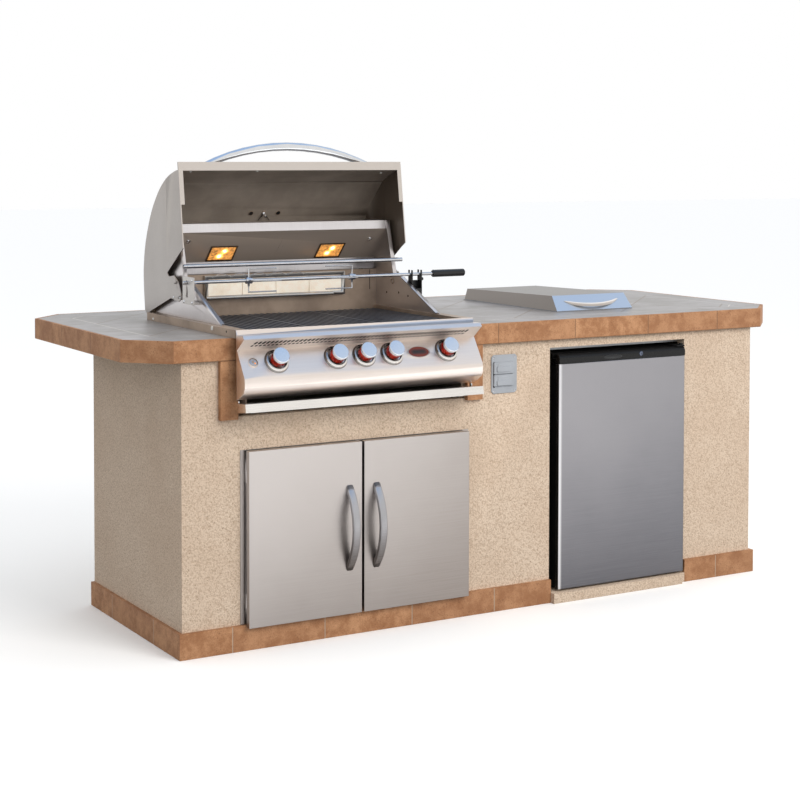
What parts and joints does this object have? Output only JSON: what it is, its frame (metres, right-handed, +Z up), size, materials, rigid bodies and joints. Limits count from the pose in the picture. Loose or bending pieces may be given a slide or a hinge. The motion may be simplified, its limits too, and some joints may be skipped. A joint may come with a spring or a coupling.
{
  "type": "outdoor kitchen island",
  "caption": "Stucco outdoor kitchen island with a tiled counter, built-in gas grill with rotisserie, covered side burner, outlet, cabinet doors and a refrigerator.",
  "frame": {"origin": "centre of the bounding box on the floor", "axes": "+X along the front to the right as seen from the front, +Y to the back, +Z up; the doors face -Y"},
  "size_m": [2.412, 1.077, 1.4807],
  "materials": {
    "stucco": "sprayed stucco over cement board, sand coloured and grainy",
    "edge_tile": "matt terracotta-coloured tile with pale joints",
    "counter_tile": "slate-grey tile laid on the diagonal with a straight border",
    "deck_board": "sealed deck board under the tiles",
    "galvanised": "galvanised steel",
    "brushed_steel": "brushed stainless steel",
    "dark_steel": "heat-tinted stainless steel",
    "chrome": "polished chrome",
    "cast_iron": "dark cast iron",
    "black_plastic": "black plastic",
    "grey_plastic": "grey weatherproof plastic",
    "fridge_liner": "white liner",
    "ceramic_burner": "cream ceramic plaque in a steel frame",
    "lamp_glass": "clear glass over a warm lamp",
    "knob": "polished cap over a red translucent body"
  },
  "bodies": {
    "island": {"back_wall": "stucco", "burner_set": "dark_steel", "control_panel": "brushed_steel", "counter_deck_left": "deck_board", "counter_deck_right": "deck_board", "counter_tiles": "counter_tile", "door_frame": "brushed_steel", "edge_tiles_left": "edge_tile", "edge_tiles_right": "edge_tile", "flame_tamer": "dark_steel", "fridge_cabinet": "black_plastic", "fridge_platform": "stucco", "fridge_shelf": "galvanised", "front_wall": "stucco", "gas_manifold": "galvanised", "grate_left": "cast_iron", "grate_middle": "cast_iron", "grate_right": "cast_iron", "grill_firebox": "dark_steel", "lamp_left": "lamp_glass", "lamp_right": "lamp_glass", "left_wall": "stucco", "motor_bracket": "brushed_steel", "outlet_plate": "grey_plastic", "outlet_receptacle": "grey_plastic", "plinth_left": "edge_tile", "plinth_right": "edge_tile", "rear_burner": "ceramic_burner", "rear_housing": "brushed_steel", "right_wall": "stucco", "rod_bracket": "black_plastic", "side_burner_grate": "cast_iron", "side_burner_head": "cast_iron", "side_burner_pan": "brushed_steel", "steel_frame": "galvanised", "upper_rail": "chrome"},
    "hood": {"hood": "brushed_steel", "hood_handle": "chrome", "thermometer": "chrome"},
    "spit": {"rotisserie_rod": "chrome", "fork_left": "chrome", "fork_right": "chrome", "rod_handle": "black_plastic"},
    "drip_tray": {"drip_tray": "brushed_steel"},
    "knob_1": {"knob_1": "knob"},
    "knob_2": {"knob_2": "knob"},
    "knob_3": {"knob_3": "knob"},
    "knob_4": {"knob_4": "knob"},
    "knob_5": {"knob_5": "knob"},
    "light_button": {"light_button": "brushed_steel"},
    "door_left": {"door_left": "brushed_steel", "door_handle_left": "chrome"},
    "door_right": {"door_right": "brushed_steel", "door_handle_right": "chrome"},
    "fridge_door": {"fridge_door": "brushed_steel", "fridge_door_liner": "fridge_liner", "fridge_door_cap": "black_plastic"},
    "outlet_lid_upper": {"outlet_lid_upper": "grey_plastic"},
    "outlet_lid_lower": {"outlet_lid_lower": "grey_plastic"},
    "side_burner_lid": {"side_burner_lid": "brushed_steel"}
  },
  "joints": [
    {"name": "hood_hinge", "type": "hinge", "parent": "island", "child": "hood", "pos_m": [-0.506, -0.03279, 1.003], "axis": [1, 0, 0], "range_deg": [0, 98]},
    {"name": "spit_turn", "type": "hinge", "parent": "island", "child": "spit", "pos_m": [-0.506, -0.11879, 1.053], "axis": [1, 0, 0], "continuous": true},
    {"name": "tray_slide", "type": "slide", "parent": "island", "child": "drip_tray", "axis": [0, -1, 0], "range_m": [0, 0.3]},
    {"name": "knob_1_turn", "type": "hinge", "parent": "island", "child": "knob_1", "pos_m": [-0.794, -0.48976, 0.84596], "axis": [0, -0.8349, 0.5505], "range_deg": [0, 270]},
    {"name": "knob_2_turn", "type": "hinge", "parent": "island", "child": "knob_2", "pos_m": [-0.601, -0.48976, 0.84596], "axis": [0, -0.8349, 0.5505], "range_deg": [0, 270]},
    {"name": "knob_3_turn", "type": "hinge", "parent": "island", "child": "knob_3", "pos_m": [-0.506, -0.48976, 0.84596], "axis": [0, -0.8349, 0.5505], "range_deg": [0, 270]},
    {"name": "knob_4_turn", "type": "hinge", "parent": "island", "child": "knob_4", "pos_m": [-0.411, -0.48976, 0.84596], "axis": [0, -0.8349, 0.5505], "range_deg": [0, 270]},
    {"name": "knob_5_turn", "type": "hinge", "parent": "island", "child": "knob_5", "pos_m": [-0.22, -0.48976, 0.84596], "axis": [0, -0.8349, 0.5505], "range_deg": [0, 270]},
    {"name": "light_button_press", "type": "slide", "parent": "island", "child": "light_button", "axis": [0, 0.8349, -0.5505], "range_m": [0, 0.003], "stiffness_N_per_m": 500, "springref_m": -0.002},
    {"name": "door_left_hinge", "type": "hinge", "parent": "island", "child": "door_left", "pos_m": [-0.8625, -0.44279, 0.326], "axis": [0, 0, -1], "range_deg": [0, 110]},
    {"name": "door_right_hinge", "type": "hinge", "parent": "island", "child": "door_right", "pos_m": [-0.1115, -0.44279, 0.326], "axis": [0, 0, 1], "range_deg": [0, 110]},
    {"name": "fridge_door_hinge", "type": "hinge", "parent": "island", "child": "fridge_door", "pos_m": [0.751, -0.42479, 0.4], "axis": [0, 0, 1], "range_deg": [0, 110]},
    {"name": "outlet_upper_hinge", "type": "hinge", "parent": "island", "child": "outlet_lid_upper", "pos_m": [-0.001, -0.42699, 0.7705], "axis": [0, 0, -1], "range_deg": [0, 100], "stiffness_Nm_per_rad": 0.02, "springref_deg": -17.19},
    {"name": "outlet_lower_hinge", "type": "hinge", "parent": "island", "child": "outlet_lid_lower", "pos_m": [-0.001, -0.42699, 0.7315], "axis": [0, 0, -1], "range_deg": [0, 100], "stiffness_Nm_per_rad": 0.02, "springref_deg": -17.19},
    {"name": "side_burner_lid_hinge", "type": "hinge", "parent": "island", "child": "side_burner_lid", "pos_m": [0.5465, 0.36221, 0.9206], "axis": [-1, 0, 0], "range_deg": [0, 95]}
  ]
}
